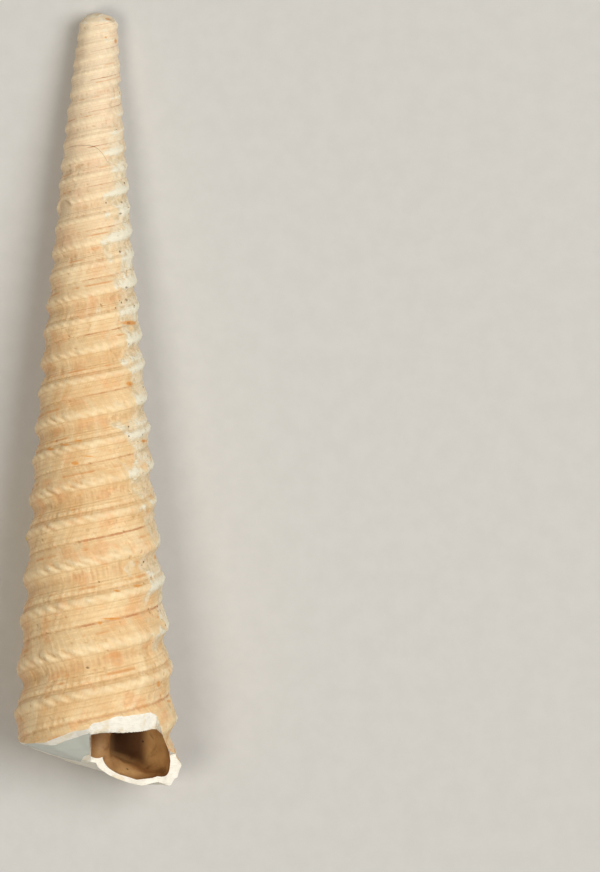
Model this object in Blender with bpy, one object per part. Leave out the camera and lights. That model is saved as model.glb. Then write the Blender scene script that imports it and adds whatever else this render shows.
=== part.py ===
# Fossil turret snail: one dextral, high-spired shell, worn and broken at both ends.
# It lies on its side with the broken opening up, its tip towards +Y and the opening towards -Y.
import math

import bmesh
import bpy
from mathutils import Matrix, Vector

MM = 0.001

# Growth. Distances run down the axis from the point where the spire's cone would close.
GROWTH = 0.1082                 # natural logarithm of the size of a whorl against the one before
FIRST_SUTURE = 14.98 * MM       # distance of suture 0 on the shell's right side
CONE = 0.0875                   # mean radius against distance
LAST_WHORL = 13                 # its upper suture's number
TAPER_START = 12.9              # from here on the last whorl draws in
TAPER_LENGTH = 0.8              # whorls
LAST_NARROWING = 0.035
TIP_BEND = 0.47 * MM            # how far the worn tip leans to the right
TIP_BEND_LENGTH = 7.5 * MM
SWAY = 0.34                     # the lower half leans back a little, per metre squared
SWAY_FROM = 37.6 * MM
BROKEN_TIP = 14.5 * MM          # distance of the broken tip
BROKEN_END = 67.6 * MM          # distance at which the lower right rim is broken flat

# Sculpture of a whorl: share of its height below the suture, radius against the cone, beaded.
PROFILE = (
    (0.00, 0.966, False),       # suture
    (0.10, 0.998, False),       # upper slope
    (0.25, 1.052, True),        # upper keel
    (0.34, 1.000, False),       # edge of the hollow band
    (0.44, 0.938, False),       # hollow band
    (0.54, 0.982, False),       # lower edge of the band
    (0.61, 1.012, False),       # fine cord
    (0.72, 1.055, True),        # lower keel
    (0.83, 1.002, False),       # lower slope
    (0.95, 0.992, False),       # thread above the next suture
)
ROWS = len(PROFILE)
RIM_ROWS = 2                    # rows of the next whorl that are left below the last suture
SIDES = 22                      # corners of a turn on a plain row
BEADS = 34                      # beads of a turn on a keel
FIRST_BEADED_WHORL = 9
BEAD_RELIEF = 0.012             # half the height of a bead, against the radius

# Worn tip: a shallow dome, a little uneven.
TIP_DOME = 0.45 * MM            # its drop at TIP_RADIUS
TIP_RADIUS = 1.2 * MM
TIP_REACH = 2.4 * MM
TIP_RINGS = (0.35, 0.65, 1.0)
TIP_SIDES = 14
TIP_ROUGHNESS = 0.09 * MM
TIP_BLOCK = 8.0 * MM            # height of the block that takes the tip off

# Broken base: a low cone from the last suture to the columella.
BASE_CENTRE = 65.9 * MM         # distance of the base's middle
BASE_BULGE = 0.55 * MM
BASE_RINGS = (0.8, 0.5, 0.2)

# Hollow last whorl, as far back as it can be seen.
WALL = 0.45 * MM
WALL_LINE = 0.97                # the wall's mean outer radius against the cone
ROOF = 0.80 * MM                # thickness between a whorl's hollow and the one before, at the wall
ROOF_SLOPE = 1.4 * MM           # how much lower that roof is at the columella
COLUMELLA = 0.55 * MM           # radius
HOLLOW_FROM = 72.0              # degrees round the axis, growing backwards
HOLLOW_TO = 335.0
HOLLOW_TAPER = 70.0             # degrees in which the far end closes
HOLLOW_STEPS = 22
HOLLOW_SIDES = 12
SQUARENESS = 0.6                # 1 makes the hollow's section an ellipse, lower values square it

# Broken front: its upper edge in mm as it is seen from the front, right of the axis and down it.
FRONT_EDGE = (
    (-0.33, 63.5), (0.20, 63.2), (0.90, 63.0), (1.40, 62.7), (2.55, 62.55), (3.75, 62.55), (4.10, 62.8),
    (4.50, 63.4), (4.75, 63.9), (5.00, 64.6), (5.40, 65.0), (5.70, 65.6), (6.80, 65.9),
)
EDGE_STEP = 0.05 * MM           # least way between two of its points
FRONT_SLOPE = 0.2               # fall of the broken face from the outside inwards
FRONT_REACH = 9.0 * MM
FRONT_FOOT = 72.0 * MM
FRONT_DEPTHS = (FRONT_REACH, COLUMELLA, 0.0)

WORN_DEPTH = 0.14 * MM          # how far the keels are worn where the shell rests
REST_SIDE = 180.0               # degrees round the axis of the side that it rests on
SHARP_ANGLE = 50.0              # degrees, edges sharper than this stay sharp
FAR = 100.0 * MM                # half a block that is larger than the shell


def suture_distance(whorl, angle):
    """Distance down the axis of a spiral line, angle 0 at the front and 90 on the right."""
    return FIRST_SUTURE * math.exp(GROWTH * (whorl - (angle - 90.0) / 360.0))


def bend_at(distance):
    """How far the shell's slightly bent axis lies to the right there."""
    tip = TIP_BEND * math.exp(-(distance - BROKEN_TIP) / TIP_BEND_LENGTH)
    return tip + SWAY * max(distance - SWAY_FROM, 0.0) ** 2


def place_flat(right, front, distance):
    """Point right of the bent axis, in front of it and down it."""
    return Vector((right + bend_at(distance), -distance, front))


def place(radius, angle, distance):
    """Point at a radius, an angle in degrees and a distance down the bent axis."""
    turn = math.radians(angle)
    return place_flat(radius * math.sin(turn), radius * math.cos(turn), distance)


def cone_radius(whorl, distance):
    """Mean radius there; the last whorl is drawn in a little."""
    share = min(max((whorl - TAPER_START) / TAPER_LENGTH, 0.0), 1.0)
    return CONE * distance * (1.0 - LAST_NARROWING * share)


def add_row(mesh, index):
    """One spiral row of corners, as (angle, corner) pairs for a single turn."""
    share, relief, beaded = PROFILE[index % ROWS]
    whorl = index // ROWS - 1 + share
    beaded = beaded and whorl > FIRST_BEADED_WHORL
    sides = 2 * BEADS if beaded else SIDES
    row = []
    for side in range(sides):
        angle = 360.0 * side / sides
        distance = suture_distance(whorl, angle)
        height = relief
        if beaded:
            height += BEAD_RELIEF if side % 2 else -BEAD_RELIEF
        corner = mesh.verts.new(place(cone_radius(whorl, distance) * height, angle, distance))
        row.append((angle, corner))
    return row


def join_rows(mesh, upper, lower):
    """Fills the strip between two rows that may have different numbers of corners."""
    up = low = 0
    while up < len(upper) - 1 or low < len(lower) - 1:
        next_up = upper[up + 1][0] if up < len(upper) - 1 else math.inf
        next_low = lower[low + 1][0] if low < len(lower) - 1 else math.inf
        if next_up <= next_low:
            mesh.faces.new((upper[up][1], upper[up + 1][1], lower[low][1]))
            up += 1
        else:
            mesh.faces.new((upper[up][1], lower[low + 1][1], lower[low][1]))
            low += 1


def base_distance(share, rim, centre=BASE_CENTRE):
    """Distance of the base at a share of its radius, between its middle and its rim."""
    return centre + share * (rim - centre) + BASE_BULGE * 4.0 * share * (1.0 - share)


def close_base(mesh, loop):
    """Web of rings from the last spiral row, and from the step where it ends, to the middle."""
    rings = [loop]
    for share in BASE_RINGS:
        ring = []
        for corner in loop:
            x, y, z = corner.co
            right = x - bend_at(-y)
            ring.append(mesh.verts.new(place_flat(right * share, z * share, base_distance(share, -y))))
        rings.append(ring)
    middle = mesh.verts.new(place_flat(0.0, 0.0, BASE_CENTRE))
    for outer, inner in zip(rings, rings[1:]):
        for here in range(len(loop)):
            after = (here + 1) % len(loop)
            mesh.faces.new((outer[here], outer[after], inner[after], inner[here]))
    for here, corner in enumerate(rings[-1]):
        mesh.faces.new((corner, rings[-1][(here + 1) % len(loop)], middle))


def make_shell_mesh():
    """The whole spire as one spiral strip, closed at the tip and at the base."""
    mesh = bmesh.new()
    count = ROWS * (LAST_WHORL + 2) + RIM_ROWS
    rows = [add_row(mesh, index) for index in range(count)]
    # A turn's last corner is the first corner of the row one whorl further up.
    tip_ends = []
    for index, (share, relief, _) in enumerate(PROFILE):
        distance = suture_distance(share - 2.0, 0.0)
        tip_ends.append(mesh.verts.new(place(CONE * distance * relief, 0.0, distance)))
    closed = []
    for index, row in enumerate(rows):
        end = tip_ends[index] if index < ROWS else rows[index - ROWS][0][1]
        closed.append(row + [(360.0, end)])
    for upper, lower in zip(closed, closed[1:]):
        join_rows(mesh, upper, lower)
    # Tip, cut off later.
    top = mesh.verts.new(place(0.0, 0.0, suture_distance(-2.2, 0.0)))
    loop = [corner for _, corner in rows[0]] + tip_ends
    for here, corner in enumerate(loop):
        mesh.faces.new((corner, loop[(here + 1) % len(loop)], top))
    # Base: the last row's turn, then down the step to where that row began.
    step = [rows[index][0][1] for index in range(count - ROWS, count - 1)]
    step = [rows[count - 1 - ROWS][0][1]] + step
    close_base(mesh, [corner for _, corner in rows[-1]] + step)
    bmesh.ops.recalc_face_normals(mesh, faces=mesh.faces)
    return mesh


def make_loft(sections):
    """Closed solid through sections that all have the same number of corners."""
    mesh = bmesh.new()
    rings = [[mesh.verts.new(corner) for corner in section] for section in sections]
    for first, second in zip(rings, rings[1:]):
        for here in range(len(first)):
            after = (here + 1) % len(first)
            mesh.faces.new((first[here], first[after], second[after], second[here]))
    mesh.faces.new(rings[0])
    mesh.faces.new(reversed(rings[-1]))
    bmesh.ops.triangulate(mesh, faces=mesh.faces)
    bmesh.ops.recalc_face_normals(mesh, faces=mesh.faces)
    return mesh


def make_front_cutter():
    """What is broken off the front of the last whorl, back to the plane through the axis."""
    sections = []
    for depth in FRONT_DEPTHS:
        # The deepest section starts past the columella, which stays whole.
        left = COLUMELLA if depth == 0.0 else FRONT_EDGE[0][0] * MM
        section = []
        for right, down in FRONT_EDGE:
            right = max(right * MM, left)
            down *= MM
            surface = math.sqrt(max((CONE * down) ** 2 - right * right, 0.0))
            section.append(place_flat(right, depth, down + (surface - depth) * FRONT_SLOPE))
            left = right + EDGE_STEP
        section.append(Vector((section[-1].x, -FRONT_FOOT, depth)))
        section.append(Vector((section[0].x, -FRONT_FOOT, depth)))
        sections.append(section)
    return make_loft(sections)


def make_tip_cutter():
    """Block over the broken tip, with an uneven hollow underside."""
    mesh = bmesh.new()
    previous = None
    middle = mesh.verts.new(place(0.0, 0.0, BROKEN_TIP))
    for share in TIP_RINGS:
        radius = share * TIP_REACH
        ring = []
        for side in range(TIP_SIDES):
            rough = TIP_ROUGHNESS * (math.sin(2.1 * side) + 0.5 * math.cos(3.7 * side))
            distance = BROKEN_TIP + TIP_DOME * (radius / TIP_RADIUS) ** 2 + rough * share
            ring.append(mesh.verts.new(place(radius, 360.0 * side / TIP_SIDES, distance)))
        for here in range(TIP_SIDES):
            after = (here + 1) % TIP_SIDES
            if previous is None:
                mesh.faces.new((middle, ring[here], ring[after]))
            else:
                mesh.faces.new((previous[here], ring[here], ring[after], previous[after]))
        previous = ring
    back = [mesh.verts.new(corner.co + Vector((0.0, TIP_BLOCK, 0.0))) for corner in previous]
    for here in range(TIP_SIDES):
        after = (here + 1) % TIP_SIDES
        mesh.faces.new((previous[here], back[here], back[after], previous[after]))
    mesh.faces.new(back)
    bmesh.ops.triangulate(mesh, faces=mesh.faces)
    bmesh.ops.recalc_face_normals(mesh, faces=mesh.faces)
    return mesh


def rounded(value):
    """Pulls a sine or cosine outwards, so that an ellipse becomes squarish."""
    return math.copysign(abs(value) ** SQUARENESS, value)


def make_hollow_cutter():
    """The last whorl's inside, a squarish tube that winds back round the columella."""
    sections = []
    for step in range(HOLLOW_STEPS + 1):
        angle = HOLLOW_FROM + (HOLLOW_TO - HOLLOW_FROM) * step / HOLLOW_STEPS
        left = min((HOLLOW_TO - angle) / HOLLOW_TAPER, 1.0)
        size = max(math.sqrt(1.0 - (1.0 - left) ** 2), 0.05)
        roof = suture_distance(LAST_WHORL, angle)
        rim = suture_distance(LAST_WHORL + 1.0, angle)
        section = []
        for side in range(HOLLOW_SIDES):
            turn = 2.0 * math.pi * (side + 0.5) / HOLLOW_SIDES
            across = 0.5 + 0.5 * size * rounded(math.cos(turn))
            down = 0.5 + 0.5 * size * rounded(math.sin(turn))
            level = roof + down * (rim - roof)
            outer = WALL_LINE * cone_radius(LAST_WHORL + down, level)
            radius = COLUMELLA + across * (outer - WALL - COLUMELLA)
            share = radius / outer
            top = roof + ROOF + ROOF_SLOPE * (1.0 - share)
            bottom = min(base_distance(share, rim), BROKEN_END) - WALL
            section.append(place(radius, angle, top + down * (bottom - top)))
        sections.append(section)
    return make_loft(sections)


def make_block(low, high):
    """Plain block between two corners."""
    mesh = bmesh.new()
    size = high - low
    matrix = Matrix.Translation(0.5 * (low + high)) @ Matrix.Diagonal((*size, 1.0))
    bmesh.ops.create_cube(mesh, size=1.0, matrix=matrix)
    return mesh


def add_object(name, mesh, collection):
    """Turns a bmesh into an object of the collection."""
    data = bpy.data.meshes.new(name)
    mesh.to_mesh(data)
    mesh.free()
    thing = bpy.data.objects.new(name, data)
    collection.objects.link(thing)
    return thing


def make_material():
    """Chalky, cream fossil shell."""
    material = bpy.data.materials.new("fossil_shell")
    material.use_nodes = True
    shader = material.node_tree.nodes["Principled BSDF"]
    shader.inputs["Base Color"].default_value = (0.72, 0.56, 0.36, 1.0)
    shader.inputs["Roughness"].default_value = 0.72
    shader.inputs["Metallic"].default_value = 0.0
    material.diffuse_color = (0.72, 0.56, 0.36, 1.0)
    return material


def cut(thing, cutter):
    """Takes the cutter's shape out of the object."""
    cutter.hide_render = True
    cutter.display_type = "WIRE"
    modifier = thing.modifiers.new(cutter.name, "BOOLEAN")
    modifier.operation = "DIFFERENCE"
    modifier.solver = "EXACT"
    modifier.object = cutter


def rest_matrix():
    """Lays the shell on its side, so that its keels' line on the resting side is level."""
    crest = max(relief for _, relief, _ in PROFILE)
    slope = math.atan(CONE * crest)
    return Matrix.Rotation(-slope, 4, "X") @ Matrix.Rotation(math.radians(180.0 - REST_SIDE), 4, "Y")


def set_down(shell, ground):
    """Puts the worn keels on the ground and the middle of the shell's box over the origin."""
    bpy.context.view_layer.update()
    worn = shell.evaluated_get(bpy.context.evaluated_depsgraph_get())
    corners = [worn.matrix_world @ vertex.co for vertex in worn.data.vertices]
    middle_x = 0.5 * (min(c.x for c in corners) + max(c.x for c in corners))
    middle_y = 0.5 * (min(c.y for c in corners) + max(c.y for c in corners))
    lowest = min(c.z for c in corners)
    for thing in (shell, ground):
        thing.location -= Vector((middle_x, middle_y, lowest))


def build():
    for thing in list(bpy.data.objects):
        bpy.data.objects.remove(thing)
    scene = bpy.context.scene.collection
    parts = bpy.data.collections.new("fossil_turret_snail")
    cutters = bpy.data.collections.new("cutters")
    scene.children.link(parts)
    scene.children.link(cutters)

    shell = add_object("shell", make_shell_mesh(), parts)
    shell.data.materials.append(make_material())
    tools = [
        add_object("tip_cutter", make_tip_cutter(), cutters),
        add_object("end_cutter", make_block(Vector((-FAR, -FAR, -FAR)), Vector((FAR, -BROKEN_END, FAR))),
                   cutters),
        add_object("front_cutter", make_front_cutter(), cutters),
        add_object("hollow_cutter", make_hollow_cutter(), cutters),
    ]
    for tool in tools:
        cut(shell, tool)
    laid = rest_matrix()
    for thing in [shell] + tools:
        thing.matrix_world = laid
    bpy.context.view_layer.update()
    whole = shell.evaluated_get(bpy.context.evaluated_depsgraph_get())
    lowest = min((whole.matrix_world @ vertex.co).z for vertex in whole.data.vertices)
    ground = add_object("ground_cutter",
                        make_block(Vector((-FAR, -FAR, lowest - FAR)),
                                   Vector((FAR, FAR, lowest + WORN_DEPTH))), cutters)
    cut(shell, ground)
    shell.data.shade_smooth()
    shell.data.set_sharp_from_angle(angle=math.radians(SHARP_ANGLE))
    set_down(shell, ground)
    for tool in tools:
        tool.location = shell.location


build()
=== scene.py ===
import math
import time

import bmesh
import bpy
import numpy as np
from mathutils import Matrix, Vector, noise


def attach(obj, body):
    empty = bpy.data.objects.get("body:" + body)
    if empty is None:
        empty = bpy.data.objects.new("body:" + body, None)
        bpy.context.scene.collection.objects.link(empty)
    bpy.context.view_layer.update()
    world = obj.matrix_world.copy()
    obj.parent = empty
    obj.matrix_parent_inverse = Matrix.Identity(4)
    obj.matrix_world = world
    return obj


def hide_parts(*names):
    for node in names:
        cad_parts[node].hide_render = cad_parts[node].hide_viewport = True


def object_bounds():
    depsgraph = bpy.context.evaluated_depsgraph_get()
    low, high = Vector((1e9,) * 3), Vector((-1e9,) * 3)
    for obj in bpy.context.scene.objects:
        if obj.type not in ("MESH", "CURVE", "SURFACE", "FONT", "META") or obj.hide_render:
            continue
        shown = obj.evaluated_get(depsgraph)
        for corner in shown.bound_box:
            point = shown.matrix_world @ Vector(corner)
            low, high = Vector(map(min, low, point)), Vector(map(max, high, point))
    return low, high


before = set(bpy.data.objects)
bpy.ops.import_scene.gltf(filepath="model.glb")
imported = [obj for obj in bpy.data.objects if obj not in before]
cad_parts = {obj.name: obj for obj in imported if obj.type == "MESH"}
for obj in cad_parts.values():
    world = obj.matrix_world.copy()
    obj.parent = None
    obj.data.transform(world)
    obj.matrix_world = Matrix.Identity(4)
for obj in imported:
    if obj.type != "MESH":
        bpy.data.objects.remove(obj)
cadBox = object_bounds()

startTime = time.time()
mm = 0.001


def tell(words):
    print("[%5.1f s] %s" % (time.time() - startTime, words))


tell("frame loaded")

# Growth of the spiral. Lengths are in mm; distances run down the axis from the point where the
# spire's cone would close; angles are degrees round the axis, 0 towards the camera, 90 on its right.
spiral = {
    "growthRate": 0.1082,  # natural logarithm of one whorl's size against the last
    "firstSuture": 14.98,  # distance of suture 0 at 90 degrees
    "coneSlope": 0.0875,  # mean radius against distance
    "lastWhorl": 13,
    "brokenTip": 14.53,
    "brokenEnd": 67.57,
    "tipBend": 0.47,  # the worn tip leans to the right
    "tipBendLength": 7.5,
    "sway": 0.00034,  # the lower half leans back a little, per mm squared
    "swayFrom": 37.6,
}


def whorlNumber(distance, angle):
    return np.log(distance / spiral["firstSuture"]) / spiral["growthRate"] + (angle - 90.0) / 360.0


def sutureDistance(whorl, angle):
    return spiral["firstSuture"] * np.exp(spiral["growthRate"] * (whorl - (angle - 90.0) / 360.0))


def bendAt(distance):
    # How far the shell's axis lies right of a straight one.
    bend = spiral["tipBend"] * np.exp(-(distance - spiral["brokenTip"]) / spiral["tipBendLength"])
    return bend + spiral["sway"] * np.maximum(distance - spiral["swayFrom"], 0.0) ** 2


def placeFlat(across, towards, distance):
    return np.stack([across + bendAt(distance), -distance, towards], axis=-1)


def place(radius, angle, distance):
    turn = np.radians(angle)
    return placeFlat(radius * np.sin(turn), radius * np.cos(turn), distance)


def bump(value, middle, halfWidth):
    return np.exp(-((value - middle) / halfWidth) ** 2)


def ramp(value, low, high):
    share = np.clip((value - low) / (high - low), 0.0, 1.0)
    return share * share * (3.0 - 2.0 * share)


def turnFrom(angle, middle):
    # Degrees from a middle angle, -180 to 180.
    return (angle - middle + 180.0) % 360.0 - 180.0


def noiseAt(points, size, seed, octaves=1):
    # Smooth noise of about -1 to 1 at mm coordinates; size is the width of a lump in mm.
    scale = 1.0 / size
    values = []
    for x, y, z in points:
        spot = (x * scale + seed, y * scale - seed, z * scale + 2.0 * seed)
        values.append(noise.fractal(spot, 1.0, 2.0, octaves) if octaves > 1 else noise.noise(spot))
    return np.array(values)


# Sculpture of the whorls
sculpture = {
    # share of a whorl's height below its suture, radius against the cone
    "outline": [(0.00, 0.964), (0.03, 0.980), (0.10, 1.002), (0.18, 1.026), (0.25, 1.050), (0.30, 1.036),
                (0.345, 0.992), (0.40, 0.950), (0.45, 0.938), (0.50, 0.954), (0.545, 0.980), (0.57, 0.984),
                (0.605, 1.008), (0.635, 0.998), (0.655, 1.004), (0.70, 1.048), (0.74, 1.052), (0.79, 1.024),
                (0.84, 0.998), (0.90, 0.986), (0.94, 0.984), (0.965, 0.990), (0.985, 0.974)],
    "softness": 0.007,  # rounding of that outline, in shares of a whorl
    # distance down the axis, swelling of the spire there
    "swelling": [(14.5, 0.955), (20.0, 0.988), (25.0, 1.010), (31.0, 0.998), (38.0, 1.018), (45.0, 1.000),
                 (53.0, 1.000), (59.5, 0.985), (64.5, 0.960), (68.5, 0.945)],
    "beads": 31,  # beads of a turn
    "upperKeel": 0.262,
    "upperBeadHeight": 0.038,  # against the radius
    "lowerKeel": 0.722,
    "lowerBeadHeight": 0.030,
    "beadLean": 0.7,  # how far a bead leans along the keel, in beads a keel's width
    "cord": 0.605,
    "cordBeads": 62,
    "cordHeight": 0.008,
    "sutureCord": 0.965,
    "sutureCordBeads": 74,
    "sutureCordHeight": 0.006,
    "cordWidth": 0.015,
    "keelWidth": 0.09,  # in shares of a whorl
    "beadWidth": 0.052,
    "beadUnevenness": 0.75,
    # where beads are fresh, left of the front and of the back: degrees, what is left of them
    "fresh": [(-30.0, 1.0), (132.0, 0.9)],
    "freshWidth": 42.0,
    "wornBeads": 0.16,  # what wear leaves of them elsewhere
    "wearPatches": (2.6, 0.10, 0.55, 0.75),  # mm across, noise where wear starts and is full, wear there
    "growthLines": 150.0,  # in a turn
    "growthLineHeight": 0.022,  # mm
    "growthBow": 0.035,  # how far the lines bow and lean over a whorl, in turns
    "growthLean": 0.02,
    "unevenness": (0.035, 1.6),  # mm deep, mm across
    "flakes": (0.045, 2.1, 0.30, 0.36),  # mm deep, mm across, noise at edge and bottom
    "pits": (0.10, 0.42, 0.82, 0.96),  # the same
    "pitsFrom": (18.0, 30.0),  # distances where they start and are at full depth
    "erodedSide": (85.0, 40.0, 0.30),  # degrees of its middle, half width, how many more pits
    # distance down the axis, what wear leaves of the keels there
    "keelsLeft": [(14.5, 0.72), (22.0, 0.80), (30.0, 0.92), (38.0, 1.00)],
    # smooth oval scar and chipped edges: angle, distance, half width and half height in mm, level or depth
    "scar": (304.0, 27.95, 0.90, 0.72, 0.965),
    "chips": [(91.0, 26.75, 0.40, 0.30, 0.22), (262.0, 44.6, 0.45, 0.30, 0.12),
              (97.0, 51.3, 0.5, 0.35, 0.14), (88.0, 20.3, 0.35, 0.25, 0.10),
              (280.0, 59.4, 0.6, 0.35, 0.12)],
}


def smoothOutline():
    shares = np.linspace(0.0, 1.0, 1025)[:-1]
    given = sculpture["outline"]
    at = [share for share, _ in given] + [1.0]
    heights = [height for _, height in given] + [given[0][1]]
    raw = np.interp(shares, at, heights)
    around = np.minimum(shares, 1.0 - shares)
    kernel = np.exp(-0.5 * (around / sculpture["softness"]) ** 2)
    kernel /= kernel.sum()
    return shares, np.real(np.fft.ifft(np.fft.fft(raw) * np.fft.fft(kernel)))


outlineShares, outlineHeights = smoothOutline()


def insideOval(angle, distance, spot):
    # 1 in the middle of a spot on the surface, 0 outside it.
    middleAngle, middle, wide, high = spot[:4]
    around = np.radians(turnFrom(angle, middleAngle)) * spiral["coneSlope"] * distance
    return ramp(1.0 - np.hypot(around / wide, (distance - middle) / high), 0.0, 0.30)


def coneRadius(distance):
    return spiral["coneSlope"] * distance * np.interp(distance, *zip(*sculpture["swelling"]))


def surfaceRadius(angle, distance, roughPoints=None):
    # Outer radius of the shell in mm; the fine relief is left out without roughPoints.
    given = sculpture
    count = whorlNumber(distance, angle)
    whorl = np.floor(count)
    share = count - whorl
    radius = coneRadius(distance)
    relief = np.interp(share, outlineShares, outlineHeights, period=1.0)
    relief = 1.0 + (relief - 1.0) * np.interp(distance, *zip(*given["keelsLeft"]))
    if roughPoints is None:
        return radius * relief
    turns = whorl - (angle - 90.0) / 360.0  # turns grown so far, without a break

    fresh = [most * bump(turnFrom(angle, middle), 0.0, given["freshWidth"])
             for middle, most in given["fresh"]]
    kept = given["wornBeads"] + (1.0 - given["wornBeads"]) * np.maximum(*fresh)
    size, low, high, most = given["wearPatches"]
    kept = kept * (1.0 - most * ramp(noiseAt(roughPoints, size, 3.1, 3), low, high))
    for keel, height in (("upperKeel", "upperBeadHeight"), ("lowerKeel", "lowerBeadHeight")):
        lean = given["beadLean"] * (share - given[keel]) / given["keelWidth"]
        number = given["beads"] * turns + lean
        uneven = noiseAt(np.stack([number, 0.0 * number, 0.0 * number], axis=-1), 1.3, 6.1)
        uneven = 1.0 + given["beadUnevenness"] * uneven
        beads = (0.5 + 0.5 * np.cos(2.0 * np.pi * number)) ** 1.05 - 0.48
        across = bump(share, given[keel], given["beadWidth"])
        relief = relief + given[height] * beads * uneven * kept * across
    for cord in ("cord", "sutureCord"):
        wave = np.cos(2.0 * np.pi * given[cord + "Beads"] * turns)
        across = bump(share, given[cord], given["cordWidth"])
        relief = relief + given[cord + "Height"] * wave * kept * across
    scar = insideOval(angle, distance, given["scar"])
    relief = relief + (given["scar"][4] - relief) * scar
    radius = radius * relief
    for chip in given["chips"]:
        radius = radius - chip[4] * insideOval(angle, distance, chip)

    # Growth lines run obliquely down each whorl and crowd together now and then.
    slant = turns + given["growthBow"] * np.sin(np.pi * share) + given["growthLean"] * share
    strand = np.stack([slant * given["growthLines"], share * 0.8, share * 0.0], axis=-1)
    growth = noiseAt(strand, 1.0, 8.4) + 0.6 * noiseAt(strand, 0.45, 2.2)
    radius = radius + given["growthLineHeight"] * growth * (1.0 - 0.8 * scar)
    depth, size = given["unevenness"]
    radius = radius + depth * noiseAt(roughPoints, size, 5.7, 3)
    depth, size, low, high = given["flakes"]
    radius = radius - depth * ramp(noiseAt(roughPoints, size, 11.3, 4), low, high)
    depth, size, low, high = given["pits"]
    middle, width, more = given["erodedSide"]
    eroded = bump(turnFrom(angle, middle), 0.0, width)
    pits = ramp(noiseAt(roughPoints, size, 17.9, 2) + more * eroded, low, high)
    return radius - depth * pits * ramp(distance, *given["pitsFrom"])


# Outer surface: rings down the axis, with more corners where the spire is wider
rings = {
    "from": 13.5,
    "to": 70.3,
    "spacingAtTip": 0.088,
    "spacingAtBase": 0.138,
    "width": 0.128,  # mm between the corners of a ring
    "cornerStep": 36,  # corners are added this many at a time
}


def ringDistances():
    distances = [rings["from"]]
    while distances[-1] < rings["to"]:
        share = (distances[-1] - spiral["brokenTip"]) / (spiral["brokenEnd"] - spiral["brokenTip"])
        share = min(max(share, 0.0), 1.0)
        step = rings["spacingAtTip"] + share * (rings["spacingAtBase"] - rings["spacingAtTip"])
        distances.append(distances[-1] + step)
    return distances


def joinRings(upper, lower):
    # Corner numbers (ring, corner) of the faces between two rings of different size.
    faces = []
    up = low = 0
    while up < upper or low < lower:
        if low >= lower or (up < upper and (up + 1) * lower <= (low + 1) * upper):
            faces.append(((0, up), (1, low), (0, up + 1)))
            up += 1
        else:
            faces.append(((0, up), (1, low), (1, low + 1)))
            low += 1
    return faces


def tubeFaces(count, sides):
    # Faces of a closed tube made of rings that follow each other.
    faces = []
    for i in range(count - 1):
        for j in range(sides):
            after = (j + 1) % sides
            faces.append([i * sides + j, i * sides + after, (i + 1) * sides + after, (i + 1) * sides + j])
    faces.append(list(range(sides))[::-1])
    faces.append([(count - 1) * sides + j for j in range(sides)])
    return faces


def makeOuterSurface():
    distances = ringDistances()
    step = rings["cornerStep"]
    sizes = []
    for distance in distances:
        around = 2.0 * math.pi * spiral["coneSlope"] * distance
        sizes.append(step * math.ceil(around / rings["width"] / step))
    starts = np.concatenate([[0], np.cumsum(sizes)])
    angle = np.concatenate([np.arange(size) * 360.0 / size for size in sizes])
    distance = np.repeat(distances, sizes)
    smoothPoints = place(surfaceRadius(angle, distance), angle, distance)
    radius = surfaceRadius(angle, distance, smoothPoints)
    points = place(radius, angle, distance)

    faces = []
    for ring in range(len(distances) - 1):
        first, second = sizes[ring], sizes[ring + 1]
        if first == second:
            inside = [((0, j), (1, j), (1, j + 1), (0, j + 1)) for j in range(first)]
        else:
            inside = joinRings(first, second)
        for face in inside:
            faces.append([int(starts[ring + side]) + j % sizes[ring + side] for side, j in face])
    for ring, order in ((0, 1), (len(distances) - 1, -1)):
        faces.append([int(starts[ring]) + j for j in range(sizes[ring])][::order])
    return points, faces


def makeMesh(name, points, faces, material):
    mesh = bpy.data.meshes.new(name)
    mesh.from_pydata((np.asarray(points) * mm).tolist(), [], faces)
    facing = bmesh.new()
    facing.from_mesh(mesh)
    bmesh.ops.recalc_face_normals(facing, faces=facing.faces)
    facing.to_mesh(mesh)
    facing.free()
    mesh.materials.append(material)
    piece = bpy.data.objects.new(name, mesh)
    bpy.context.scene.collection.objects.link(piece)
    return piece


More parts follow.
